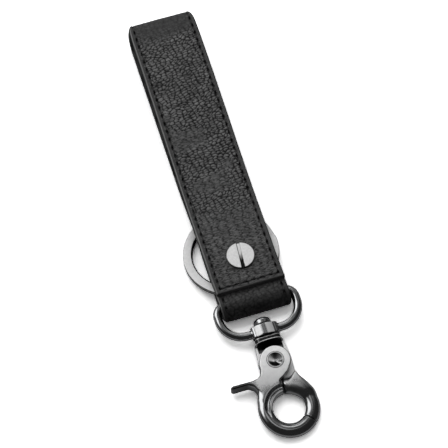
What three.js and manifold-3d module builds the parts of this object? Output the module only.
// Wristlet keychain: a folded leather band with a binding screw, a swivel loop
// with a trigger snap, and a flat split ring. Millimetres, +Z up.
// Origin: centre of the binding post's flat back face, on the screw's axis.
// +X runs across the band, +Y along it towards the wrist-loop end; the snap is on -Y.
// Heights below are given from the plane the keychain lies on, POST_FACE_Z under the
// origin, and the whole group is lowered by that much at the end.
import * as THREE from 'three';
import { mergeVertices } from 'three/addons/utils/BufferGeometryUtils.js';
import Module from 'manifold-3d';

const wasm = await Module();
wasm.setup();

// ---------------------------------------------------------------- shared dimensions
// Positions are [x, y, z]; tilts and angles are in degrees.
const POST_FACE_Z = 1.35;        // post's back face above the plane it lies on
const BARREL_R = 2.5;            // binding screw's barrel

const LOOP_WIRE_R = 1.55;        // swivel loop
const LOOP_HALF_W = 14.3;
const LOOP_DROP = 13.2;          // straight bar to boss bar, centre to centre
const LOOP_TOP_R = 3.6;          // corner radii of the wire's middle line
const LOOP_LOW_R = 8.0;
const LOOP_POS = [0.1, -15.0, 4.78];
const LOOP_TILT = 2.6;           // the loop lies a little nose-down

const HOOK_POS = [0.1, -28.19, 4.18];   // on the loop's boss bar
const HOOK_TILT = 2.2;

const RING_POS = [-2.1, 4.8, 3.05];
const RING_TILT_X = -5.78;
const RING_TILT_Y = -2.0;
const RING_IN_R = 13.9;
const RING_OUT_R = 17.3;
const COIL_T = 1.05;
const COIL_GAP = 0.1;

// ---------------------------------------------------------------- materials
const FINISH = {
  leather: { color: 0x2f3031, roughness: 0.62, metalness: 0.0 },
  lining: { color: 0x242526, roughness: 0.7, metalness: 0.0 },
  thread: { color: 0x151516, roughness: 0.85, metalness: 0.0 },
  post: { color: 0x9a9a9c, roughness: 0.3, metalness: 1.0 },
  screw: { color: 0xb9b9b7, roughness: 0.32, metalness: 1.0 },
  loop: { color: 0x5b5c5f, roughness: 0.22, metalness: 1.0 },
  snap: { color: 0x6a6b6e, roughness: 0.24, metalness: 1.0 },
  rivet: { color: 0x6f7073, roughness: 0.25, metalness: 1.0 },
  spring: { color: 0x8a8b8d, roughness: 0.35, metalness: 1.0 },
  ring: { color: 0xc4c5c6, roughness: 0.18, metalness: 1.0 },
};

// ---------------------------------------------------------------- conversions
const rad = THREE.MathUtils.degToRad;

// closed three.js geometry to a Manifold solid
function solid(geometry) {
  let welded = geometry.index ? geometry.toNonIndexed() : geometry.clone();
  for (const key of Object.keys(welded.attributes)) {
    if (key !== 'position') welded.deleteAttribute(key);
  }
  welded = mergeVertices(welded, 1e-4);
  const index = welded.index.array;
  const triangles = [];
  for (let i = 0; i < index.length; i += 3) {
    const [a, b, c] = [index[i], index[i + 1], index[i + 2]];
    if (a !== b && b !== c && c !== a) triangles.push(a, b, c);
  }
  return new wasm.Manifold(new wasm.Mesh({
    numProp: 3,
    vertProperties: Float32Array.from(welded.attributes.position.array),
    triVerts: Uint32Array.from(triangles),
  }));
}

function toMesh(name, piece, finish) {
  const { vertProperties, triVerts } = piece.getMesh();
  const geometry = new THREE.BufferGeometry();
  const positions = new THREE.BufferAttribute(Float32Array.from(vertProperties), 3);
  geometry.setAttribute('position', positions);
  geometry.setIndex(new THREE.BufferAttribute(Uint32Array.from(triVerts), 1));
  geometry.computeVertexNormals();
  const mesh = new THREE.Mesh(geometry, new THREE.MeshStandardMaterial(finish));
  mesh.name = name;
  return mesh;
}

function tiltedGroup(position, tiltX, tiltY = 0) {
  const tilted = new THREE.Group();
  tilted.position.set(...position);
  tilted.rotation.set(rad(tiltX), rad(tiltY), 0);
  tilted.updateMatrix();
  return tilted;
}

// ---------------------------------------------------------------- outlines
const vectors = (points) => points.map(([x, y]) => new THREE.Vector2(x, y));
const shapeOf = (points) => new THREE.Shape(vectors(points));

function arcPoints(centreX, centreY, radius, from, to, steps) {
  const points = [];
  for (let i = 0; i <= steps; i++) {
    const angle = rad(from + (to - from) * i / steps);
    points.push([centreX + radius * Math.cos(angle), centreY + radius * Math.sin(angle)]);
  }
  return points;
}

// polygon with its corners on a circle, starting half a step round
function circle(radius, count) {
  return Array.from({ length: count }, (_, i) => {
    const angle = 2 * Math.PI * (i + 0.5) / count;
    return [radius * Math.cos(angle), radius * Math.sin(angle)];
  });
}

// ---------------------------------------------------------------- basic solids
function cylinderZ(radius, z0, z1, segments, [x, y] = [0, 0]) {
  const geometry = new THREE.CylinderGeometry(radius, radius, z1 - z0, segments, 1);
  geometry.rotateX(Math.PI / 2);
  geometry.translate(x, y, (z0 + z1) / 2);
  return solid(geometry);
}

function cylinderY(radius, y0, y1, segments) {
  const geometry = new THREE.CylinderGeometry(radius, radius, y1 - y0, segments, 1);
  geometry.translate(0, (y0 + y1) / 2, 0);
  return solid(geometry);
}

function box(x0, x1, y0, y1, z0, z1) {
  const geometry = new THREE.BoxGeometry(x1 - x0, y1 - y0, z1 - z0);
  geometry.translate((x0 + x1) / 2, (y0 + y1) / 2, (z0 + z1) / 2);
  return solid(geometry);
}

// flat plate with an outline in XY, from z0 to z1
function plate(points, z0, z1) {
  const geometry = new THREE.ExtrudeGeometry(shapeOf(points), {
    depth: z1 - z0,
    bevelEnabled: false,
  });
  geometry.translate(0, 0, z0);
  return solid(geometry);
}

// plate with an outline in YZ, its width centred on x
function slab(points, width, x) {
  const geometry = new THREE.ExtrudeGeometry(shapeOf(points), {
    depth: width,
    bevelEnabled: false,
  });
  geometry.applyMatrix4(new THREE.Matrix4().set(
    0, 0, 1, x - width / 2,
    1, 0, 0, 0,
    0, 1, 0, 0,
    0, 0, 0, 1));
  return solid(geometry);
}

// block along Y with a rounded outline in XZ and bevelled ends; the corner centres are
// at +-cornerX, +-cornerZ, and y is its +Y end before the bevel is added
function roundedBlock({ cornerX, cornerZ, radius, depth, bevel, y }) {
  const corners = [[1, 1], [-1, 1], [-1, -1], [1, -1]];
  const outline = corners.flatMap(([signX, signZ], i) =>
    arcPoints(signX * cornerX, signZ * cornerZ, radius, 90 * i, 90 * i + 90, 5));
  const geometry = new THREE.ExtrudeGeometry(shapeOf(outline), {
    depth,
    bevelEnabled: true,
    bevelSize: bevel,
    bevelThickness: bevel,
    bevelSegments: 1,
    bevelOffset: -bevel,
  });
  geometry.rotateX(Math.PI / 2);
  geometry.translate(0, y, 0);
  return solid(geometry);
}

// profile of [radius, height] turned about Y
const lathe = (profile, segments) => new THREE.LatheGeometry(vectors(profile), segments);

// profile of [radius, z] turned about Z
const turned = (profile, segments) => solid(lathe(profile, segments).rotateX(Math.PI / 2));

function sweep(pathPoints, section, steps) {
  const extrudePath = new THREE.CatmullRomCurve3(pathPoints, false, 'centripetal');
  return solid(new THREE.ExtrudeGeometry(shapeOf(section), {
    steps,
    bevelEnabled: false,
    extrudePath,
  }));
}

// ---------------------------------------------------------------- band path
const BAND_WIDTH = 25;
const BAND_HALF = 1.05;          // half the thickness of leather plus lining
const GLUE_GAP = 0.05;           // between leather and lining
const THIN_TOLERANCE = 0.03;     // samples nearer than this to a chord are dropped
const END_SAMPLES = 6;           // always kept at each end, for the seam

// Middle line of the band seen from the side, as [y, z]: from the stitched -Y end over
// the top of the wrist loop, back underneath, round the eyelet, to the tucked end.
const BAND_STATIONS = [
  // stitched end, over the screw and along the top
  [-12.3, 9.33], [-10.9, 9.09], [-10.3, 8.99], [-8.9, 8.75], [-7.0, 8.35], [-5.4, 8.06],
  [-4.5, 8.0], [0, 8.0], [5.5, 8.0], [12, 7.95], [18, 7.78], [26, 7.75], [37, 8.55],
  [55, 10.5], [74, 12.2], [86, 12.93], [92, 13.05],
  // bend at the +Y end
  ...arcPoints(96.9, 7.075, 5.975, 80, -80, 8),
  // back underneath, rising to pass the screw
  [93, 1.1], [90, 1.1], [80, 1.1], [60, 1.1], [44, 1.1], [37, 1.2], [31, 1.75], [26, 2.85],
  [22, 3.9], [19, 4.5], [16, 4.85], [13.5, 5.03], [11, 5.05], [9.6, 4.7], [8.4, 4.15],
  [7.2, 3.7], [5.5, 3.6], [0, 3.6], [-4.5, 3.6], [-5.5, 3.55], [-7.0, 3.0], [-8.9, 2.4],
  [-10.7, 2.15], [-13, 2.1], [-15.4, 2.1],
  // eyelet bend, an arc mirrored to the -Y side
  ...arcPoints(17.3, 4.8, 2.7, -70, 70, 7).map(([y, z]) => [-y, z]),
  // tucked end, between the other two layers
  [-15.2, 7.5], [-12.8, 7.15], [-10.7, 6.75], [-8.9, 6.45], [-7.0, 6.1], [-5.4, 5.85],
  [-4.5, 5.8], [0, 5.8], [4.6, 5.8], [5.2, 5.8], [5.8, 5.8], [7.0, 5.8],
];

// two samples a span keep the straight runs exactly flat
function samplePath(stations) {
  const curve = new THREE.CatmullRomCurve3(
    stations.map(([y, z]) => new THREE.Vector3(y, z, 0)), false, 'centripetal');
  const spans = stations.length - 1;
  const samples = [];
  for (let i = 0; i < spans; i++) {
    for (const part of [0, 0.5]) {
      const point = curve.getPoint((i + part) / spans);
      samples.push([point.x, point.y]);
    }
  }
  samples.push(stations[spans]);
  return samples;
}

// drops the samples that add nothing
function thinned(samples) {
  const keep = new Set();
  const split = (from, to) => {
    keep.add(from);
    keep.add(to);
    const [y0, z0] = samples[from];
    const [y1, z1] = samples[to];
    const length = Math.hypot(y1 - y0, z1 - z0);
    let farthest = THIN_TOLERANCE;
    let at = -1;
    for (let k = from + 1; k < to; k++) {
      const [y, z] = samples[k];
      const distance = Math.abs((y - y0) * (z1 - z0) - (z - z0) * (y1 - y0)) / length;
      if (distance > farthest) {
        farthest = distance;
        at = k;
      }
    }
    if (at > 0) {
      split(from, at);
      split(at, to);
    }
  };
  const end = samples.length - 1;
  for (let i = 0; i < END_SAMPLES; i++) {
    keep.add(i);
    keep.add(end - i);
  }
  split(END_SAMPLES, end - END_SAMPLES);
  return samples.filter((_, i) => keep.has(i));
}

const bandMiddle = thinned(samplePath(BAND_STATIONS));
const bandLast = bandMiddle.length - 1;

// unit normals to the left of travel, which is the outside of the loop
const bandNormal = bandMiddle.map((_, i) => {
  const [y0, z0] = bandMiddle[Math.max(0, i - 1)];
  const [y1, z1] = bandMiddle[Math.min(bandLast, i + 1)];
  const length = Math.hypot(y1 - y0, z1 - z0);
  return [-(z1 - z0) / length, (y1 - y0) / length];
});

// strip of the band between two offsets from its middle line, from one sample to another
function strip(inner, outer, width, x = 0, first = 0, last = bandLast) {
  const offsetLine = (offset) => bandMiddle.slice(first, last + 1).map(([y, z], i) => {
    const [normalY, normalZ] = bandNormal[first + i];
    return [y + normalY * offset, z + normalZ * offset];
  });
  return slab([...offsetLine(outer), ...offsetLine(inner).reverse()], width, x);
}

// ---------------------------------------------------------------- leather band
const SEAM_X = 10.75;            // seam line from the band's centre line
const SEAM_W = 0.6;
const SEAM_DEPTH = 0.36;
const GROOVE_DEPTH = 0.42;
const GROOVE_OVERCUT = 0.4;      // groove cutter above the leather's face
const GROOVE_W = SEAM_W + 0.14;
const PRESS_SIDE = 0.15;         // room for the ring, radially
const PRESS_FACE = 0.12;         // and on its flat faces
const FLARE_START_X = 9.2;
const FLARE_CLEARANCE = 0.16;

// the leather is pressed in where the ring runs across it
function ringPress(ringMatrix) {
  const inner = RING_IN_R - PRESS_SIDE;
  const outer = RING_OUT_R + PRESS_SIDE;
  const half = COIL_T + COIL_GAP / 2 + PRESS_FACE;
  const profile = [[inner, -half], [outer, -half], [outer, half], [inner, half], [inner, -half]];
  return turned(profile, 48).transform(ringMatrix.elements);
}

// the eyelet's mouth is flared on both sides, so the loop's rounded corners can swing in it
function eyeletFlare(side) {
  const cornerX = LOOP_HALF_W - LOOP_TOP_R;
  const insideR = LOOP_TOP_R - LOOP_WIRE_R;
  const profile = [[0, FLARE_START_X], [LOOP_WIRE_R + 0.1, FLARE_START_X]];
  for (const along of [0, 0.7, 1.2, 1.6, 1.85, 2.0]) {
    const x = cornerX + along;
    const bend = Math.sqrt(insideR ** 2 - (x - cornerX) ** 2);
    profile.push([LOOP_TOP_R + FLARE_CLEARANCE - bend, x]);
  }
  profile.push([0, cornerX + 2.0]);
  const geometry = lathe(profile, 20);
  geometry.rotateZ(-Math.PI / 2);              // lathe axis Y -> +X
  if (side < 0) geometry.rotateZ(Math.PI);
  geometry.translate(...LOOP_POS);
  return solid(geometry);
}

// two runs along the band, joined across it at both ends
function seamFrame({ inner, outer, runWidth, start, endStop }) {
  const part = (width, x, first, last) => strip(inner, outer, width, x, first, last);
  return part(runWidth, SEAM_X, start, bandLast - start)
    .add(part(runWidth, -SEAM_X, start, bandLast - start))
    .add(part(2 * SEAM_X, 0, start, endStop))
    .add(part(2 * SEAM_X, 0, bandLast - endStop, bandLast - start));
}

function bandMeshes(ringMatrix) {
  const screwHole = cylinderZ(BARREL_R + 0.1, 0, 12, 32);
  const pressed = ringPress(ringMatrix).add(eyeletFlare(-1)).add(eyeletFlare(1));

  // the seam is a flat thread let into the outer face
  const thread = seamFrame({
    inner: BAND_HALF - SEAM_DEPTH,
    outer: BAND_HALF,
    runWidth: SEAM_W,
    start: 2,
    endStop: 4,
  }).subtract(pressed);
  const grooves = seamFrame({
    inner: BAND_HALF - GROOVE_DEPTH,
    outer: BAND_HALF + GROOVE_OVERCUT,
    runWidth: GROOVE_W,
    start: 1,
    endStop: 5,
  });

  const leather = strip(GLUE_GAP / 2, BAND_HALF, BAND_WIDTH)
    .subtract(screwHole).subtract(pressed).subtract(grooves);
  const lining = strip(-BAND_HALF, -GLUE_GAP / 2, BAND_WIDTH)
    .subtract(screwHole).subtract(pressed);
  return [
    toMesh('strap_leather', leather, FINISH.leather),
    toMesh('strap_lining', lining, FINISH.lining),
    toMesh('seam_thread', thread, FINISH.thread),
  ];
}

// ---------------------------------------------------------------- binding screw
const SCREW_HEAD_R = 5.0;
const SCREW_SEAT_Z = 9.15;       // underside of the slotted head
const SCREW_TOP_Z = SCREW_SEAT_Z + 1.1;

// barrel with a thin flat head at the back and a blind hole from the front
function screwPost() {
  const profile = [
    [0, POST_FACE_Z], [4.6, POST_FACE_Z], [5.0, 1.6], [5.0, 2.45], [BARREL_R, 2.45],
    [BARREL_R, 8.2], [1.6, 8.2], [1.6, 2.3], [0, 2.3],
  ];
  return toMesh('screw_post', turned(profile, 32), FINISH.post);
}

function slottedScrew() {
  const profile = [
    [0, 2.6], [1.5, 2.6], [1.5, SCREW_SEAT_Z], [SCREW_HEAD_R, SCREW_SEAT_Z],
    [SCREW_HEAD_R, 9.95], [4.7, SCREW_TOP_Z], [0, SCREW_TOP_Z],
  ];
  const slot = box(-0.6, 0.6, -6, 6, 9.6, 11).rotate([0, 0, -5]);
  return toMesh('slotted_screw', turned(profile, 32).subtract(slot), FINISH.screw);
}

// ---------------------------------------------------------------- swivel loop
const BORE_R = 2.33;             // for the snap's stud
const BAR_OVERLAP = 0.4;         // each half runs this far past the centre line

// one half of the wire, on the +X or -X side; y = 0 is the straight bar
function loopHalf(side) {
  const path = [
    [-BAR_OVERLAP, 0], [3, 0], [6.5, 0],
    ...arcPoints(LOOP_HALF_W - LOOP_TOP_R, -LOOP_TOP_R, LOOP_TOP_R, 90, 0, 6),
    ...arcPoints(LOOP_HALF_W - LOOP_LOW_R, -LOOP_DROP + LOOP_LOW_R, LOOP_LOW_R, 0, -90, 8),
    [3, -LOOP_DROP], [-BAR_OVERLAP, -LOOP_DROP],
  ];
  const points = path.map(([x, y]) => new THREE.Vector3(x * side, y, 0));
  return sweep(points, circle(LOOP_WIRE_R, 10), 28);
}

function swivelLoop() {
  // the boss follows the snap's axis, which lies a little flatter than the loop
  const onSnapAxis = (piece) =>
    piece.rotate([HOOK_TILT - LOOP_TILT, 0, 0]).translate([0, -LOOP_DROP, 0]);
  const boss = onSnapAxis(roundedBlock({
    cornerX: 3.2,
    cornerZ: 1.5,
    radius: 1.7,
    depth: 3.7,
    bevel: 0.3,
    y: 1.85,
  }));
  const bore = onSnapAxis(cylinderY(BORE_R, -5, 5, 48));
  const loop = loopHalf(1).add(loopHalf(-1)).add(boss).subtract(bore);
  return toMesh('swivel_loop', loop, FINISH.loop);
}

// ---------------------------------------------------------------- trigger snap
// In the snap's own frame: the stud runs along Y through its origin, the bow is on -Y,
// the fixed arm on +X and the lever with its thumb tab on -X.
const HOOK_HALF_T = 2.8;
const SIDE_HALF_T = HOOK_HALF_T - 0.15;   // faces set in a little from the full thickness
const HALVES_Z = 0.1;            // each half's inner face from the middle plane
const CUT_Z = 4;                 // cutters reach this far above and below
const STUD_R = 2.25;
const PIVOT = [-0.1, -12.1];     // lever pivot
const [PIVOT_X, PIVOT_Y] = PIVOT;
const LEVER_DISC_R = 5.45;
const BODY_DISC_R = 5.9;
const POCKET_HALF_T = 1.35;      // spring pocket
const LEG_SLOT_LENGTH = 4.6;     // slots for the spring's legs, from the pivot
const LEG_SLOT_HALF_W = 0.4;
const BOW_CENTRE = [-0.6, -29.5];
const [BOW_X, BOW_Y] = BOW_CENTRE;
const BOW_IN_R = 5.65;
const BOW_OUT_R = 10.8;
const BOW_HALF_T = 2.55;
const SECTOR_REACH = 20;         // sector cutters reach this far from the bow's centre
const GATE_ANGLE = rad(-46);     // where the lever's tip meets the fixed arm
const GATE_GAP = 0.3;
const BODY_EDGE_X = 0.3;         // the bow's split at its +Y side
const LEVER_EDGE_X = -1.05;

// Outlines are [x, y].
const ARM_OUTLINE = [
  [5.3, -17.5], [4.5, -18.2], [3.1, -19.8], [1.6, -20.95], [0.3, -21.45], [0.3, -24.2],
  [3.0, -26.2], [6.6, -28.6], [9.6, -28.6], [9.95, -27.2], [9.36, -25.1], [8.07, -22.4],
  [6.1, -19.6],
];
const LOWER_OUTLINE = [
  [-5.1, -4.4], [-5.45, -7.5], [-5.85, -10.5],
  ...arcPoints(PIVOT_X, PIVOT_Y, BODY_DISC_R, 175, 245, 8),
  [-0.55, -17.95], [-0.55, -24.2], [1.0, -24.4], [5.6, -19.6], [5.6, -16], [5.9, -12],
  [5.75, -9], [5.4, -6.5], [5.25, -4.4],
];
const NECK_OUTLINE = [
  [-5.1, -4.4], [-5.3, -6.2], [-4.9, -6.6], [-3.2, -5.9], [0, -5.5], [3.0, -5.9],
  [4.9, -6.6], [5.35, -6.2], [5.25, -4.4],
];
const LEVER_OUTLINE = [
  [-1.05, -24.4], [-1.05, -19.9], [-0.7, -19.5], [1.1, -18.5], [2.7, -17.35], [3.9, -16.0],
  PIVOT, [-5.4, -10.6], [-5.9, -11.6], [-6.15, -12.8], [-6.2, -14.6], [-6.75, -16.0],
  [-8.1, -16.85], [-9.9, -17.0], [-17.2, -16.9], [-17.9, -17.3], [-17.95, -17.9],
  [-17.2, -18.4], [-11.9, -18.45], [-10.2, -19.6], [-9.45, -21.3], [-9.95, -23.5],
  [-10.8, -26.2], [-8.0, -27.0], [-5.4, -27.0],
];
// turned about Y, as [radius, y]
const PEENED_PROFILE = [[0, 2.3], [3.0, 2.3], [3.15, 2.8], [2.9, 3.7], [2.1, 4.4], [0, 4.7]];

// far end of a sector's gate edge, turned off the gate angle by some radians
const gatePoint = (turn, lift = 0) => [
  BOW_X + SECTOR_REACH * Math.cos(GATE_ANGLE + turn),
  BOW_Y + SECTOR_REACH * Math.sin(GATE_ANGLE + turn) + lift,
];
// the fixed arm's share of the bow: from the gate up the +X side to the top
const BODY_SECTOR = [
  [BOW_X + 1.0, BOW_Y - 1.0 + 0.35], gatePoint(0.02, GATE_GAP),
  [BOW_X + SECTOR_REACH, BOW_Y], [BOW_X + SECTOR_REACH, BOW_Y + SECTOR_REACH],
  [BODY_EDGE_X, BOW_Y + SECTOR_REACH], [BODY_EDGE_X, BOW_Y + 2],
];
const LEVER_SECTOR = [
  [BOW_X + 1.0, BOW_Y - 1.0], gatePoint(-0.005),
  [BOW_X + 4, BOW_Y - SECTOR_REACH], [BOW_X - SECTOR_REACH, BOW_Y - SECTOR_REACH],
  [BOW_X - SECTOR_REACH, BOW_Y + SECTOR_REACH],
  [LEVER_EDGE_X, BOW_Y + SECTOR_REACH], [LEVER_EDGE_X, BOW_Y + 2],
];

// full ring of oval section, cut down to one sector
function bowPart(sector) {
  const middleR = (BOW_IN_R + BOW_OUT_R) / 2;
  const halfW = (BOW_OUT_R - BOW_IN_R) / 2;
  const section = circle(1, 10).map(([x, y]) => [middleR + halfW * x, BOW_HALF_T * y]);
  section.push(section[0]);
  return turned(section, 44).translate([BOW_X, BOW_Y, 0])
    .intersect(plate(sector, -CUT_Z, CUT_Z));
}

const bowHole = () => cylinderZ(BOW_IN_R, -CUT_Z, CUT_Z, 56, BOW_CENTRE);
const springPocket = () => cylinderZ(3.25, -POCKET_HALF_T, POCKET_HALF_T, 40, PIVOT);

function hookBody() {
  const hole = bowHole();
  // shoulder and +X side
  const arm = plate(ARM_OUTLINE, -SIDE_HALF_T, SIDE_HALF_T).subtract(hole);
  // lower half: neck, disc and the floor under the shoulder
  const lower = plate(LOWER_OUTLINE, -HOOK_HALF_T, -HALVES_Z).subtract(hole);
  // joins the lower half to the collar
  const neckTop = plate(NECK_OUTLINE, -0.2, 2.3);
  const collar = roundedBlock({
    cornerX: 3.1,
    cornerZ: 0.9,
    radius: 2.05,
    depth: 1.7,
    bevel: 0.25,
    y: -2.55,
  });
  const stud = cylinderY(STUD_R, -3, 2.6, 40);
  const peened = solid(lathe(PEENED_PROFILE, 24));
  const legSlot = box(
    PIVOT_X - LEG_SLOT_HALF_W, PIVOT_X + LEG_SLOT_HALF_W,
    PIVOT_Y - LEG_SLOT_LENGTH, PIVOT_Y, -POCKET_HALF_T, 0.1);
  const body = lower.add(arm).add(bowPart(BODY_SECTOR)).add(neckTop)
    .add(collar).add(stud).add(peened)
    .subtract(springPocket())
    .subtract(cylinderZ(1.45, -CUT_Z, CUT_Z, 32, PIVOT))     // rivet bore
    .subtract(cylinderZ(2.75, -CUT_Z, -2.1, 40, PIVOT))      // recess for the rivet's lower head
    .subtract(legSlot);
  return toMesh('hook_body', body, FINISH.snap);
}

function hookLever() {
  const hole = bowHole();
  // upper half: disc, thumb tab and the -X side down to the bow
  const upper = cylinderZ(LEVER_DISC_R, HALVES_Z, HOOK_HALF_T, 44, PIVOT)
    .add(plate(LEVER_OUTLINE, HALVES_Z, HOOK_HALF_T).subtract(hole));
  // the same outline below, cleared round the body's disc and floor
  const under = plate(LEVER_OUTLINE, -SIDE_HALF_T, 0.3).subtract(hole)
    .subtract(cylinderZ(BODY_DISC_R + 0.25, -CUT_Z, 0.05, 56, PIVOT))
    .subtract(box(-0.9, 8, -23, -8, -CUT_Z, 0.05));
  const legSlot = box(
    PIVOT_X - LEG_SLOT_LENGTH, PIVOT_X,
    PIVOT_Y - LEG_SLOT_HALF_W, PIVOT_Y + LEG_SLOT_HALF_W, -0.1, POCKET_HALF_T);
  const lever = upper.add(under).add(bowPart(LEVER_SECTOR))
    .subtract(springPocket())
    .subtract(cylinderZ(1.5, -CUT_Z, CUT_Z, 32, PIVOT))      // rivet bore
    .subtract(cylinderZ(3.05, 2.0, CUT_Z, 40, PIVOT))        // recess for the rivet's upper head
    .subtract(legSlot);
  return toMesh('hook_lever', lever, FINISH.snap);
}

// rivet with a dimpled upper head
function pivotRivet() {
  const profile = [
    [0, -2.7], [2.6, -2.7], [2.6, -2.2], [1.38, -2.2], [1.38, 2.1], [2.95, 2.1],
    [2.95, 2.75], [2.35, 2.75], [0.5, 1.7], [0, 1.65],
  ];
  const rivet = turned(profile, 24).translate([PIVOT_X, PIVOT_Y, 0]);
  return toMesh('pivot_rivet', rivet, FINISH.rivet);
}

// torsion spring in the pocket, one leg in each half of the snap
function leverSpring() {
  const turns = 2.25;
  const coilR = 2.45;
  const coilHalfHeight = 0.8;
  const legZ = 0.95;
  const wireR = 0.22;
  const coilSteps = 36;
  const at = (x, y, z) => new THREE.Vector3(PIVOT_X + x, PIVOT_Y + y, z);
  const path = [at(0, -4.1, -legZ), at(0.02, -3.2, -legZ)];
  for (let i = 0; i <= coilSteps; i++) {
    const angle = rad(-60 + (turns * 360 + 60) * i / coilSteps);
    const z = -coilHalfHeight + 2 * coilHalfHeight * i / coilSteps;
    path.push(at(coilR * Math.cos(angle), coilR * Math.sin(angle), z));
  }
  path.push(at(-3.3, 0.05, legZ), at(-4.1, 0, legZ));
  return toMesh('lever_spring', sweep(path, circle(wireR, 5), 60), FINISH.spring);
}

// ---------------------------------------------------------------- split ring
const RING_END_ANGLE = 5.8;      // where the upper coil ends
const RING_RAMP = 26;            // angle over which the coil climbs
const RING_END_TRIM = 0.3;       // angle taken off each end

function splitRing() {
  const middleR = (RING_IN_R + RING_OUT_R) / 2;
  const halfW = (RING_OUT_R - RING_IN_R) / 2;
  const halfT = COIL_T / 2;
  const coilZ = (COIL_T + COIL_GAP) / 2;
  const total = 720 - RING_RAMP - 2 * RING_END_TRIM;
  const steps = 96;
  const path = [];
  for (let i = 0; i <= steps; i++) {
    const along = total * i / steps;
    const climb = THREE.MathUtils.smoothstep(along, 360 - RING_RAMP, 360);
    const angle = rad(RING_END_ANGLE + RING_RAMP + along + RING_END_TRIM);
    path.push(new THREE.Vector3(
      middleR * Math.cos(angle), middleR * Math.sin(angle), -coilZ + 2 * coilZ * climb));
  }
  const section = [[-halfT, -halfW], [halfT, -halfW], [halfT, halfW], [-halfT, halfW]];
  return toMesh('split_ring', sweep(path, section, 116), FINISH.ring);
}

// ---------------------------------------------------------------- assembly
const loopGroup = tiltedGroup(LOOP_POS, LOOP_TILT);
loopGroup.add(swivelLoop());

const hookGroup = tiltedGroup(HOOK_POS, HOOK_TILT);
hookGroup.add(hookBody(), hookLever(), pivotRivet(), leverSpring());

const ringGroup = tiltedGroup(RING_POS, RING_TILT_X, RING_TILT_Y);
ringGroup.add(splitRing());

const group = new THREE.Group();
group.name = 'wristlet_keychain';
group.add(...bandMeshes(ringGroup.matrix), screwPost(), slottedScrew());
group.add(loopGroup, hookGroup, ringGroup);
group.position.z = -POST_FACE_Z;

export default group;
